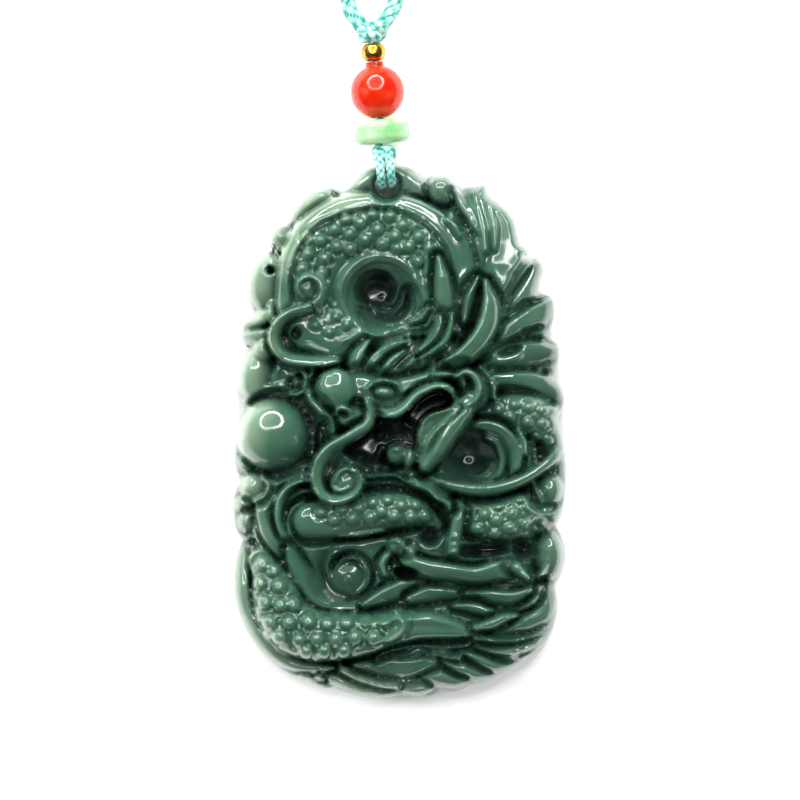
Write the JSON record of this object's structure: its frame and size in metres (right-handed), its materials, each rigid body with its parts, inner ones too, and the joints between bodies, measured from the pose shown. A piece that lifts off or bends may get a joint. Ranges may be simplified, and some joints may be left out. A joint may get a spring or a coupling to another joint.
{
  "type": "jade pendant",
  "caption": "Carved jade plaque of a coiling dragon with a pearl, drilled near its top for a neck cord with beads. It hangs on the chest and lies flat when loose.",
  "frame": {"origin": "centre of the jade plaque's outline, on the surface that its back lies on", "axes": "+X to the right of the carving, +Y to its top where the cord hole is, +Z out of the carved front"},
  "size_m": [0.0373, 0.1075, 0.0111],
  "materials": {
    "jade": "polished dark green jade",
    "pale_green_stone": "polished, slightly translucent",
    "red_stone": "polished, translucent orange-red",
    "gold_metal": "polished gold colour",
    "teal_cord": "braided glossy thread"
  },
  "bodies": {
    "root": {"jade_pendant": "jade", "loop_left": "teal_cord", "loop_right": "teal_cord", "lower_knot": "teal_cord", "disc_bead": "pale_green_stone", "red_bead": "red_stone", "gold_bead": "gold_metal", "bead_cord": "teal_cord", "upper_knot": "teal_cord", "neck_left": "teal_cord", "neck_right": "teal_cord", "neck_coil": "teal_cord"}
  },
  "joints": []
}
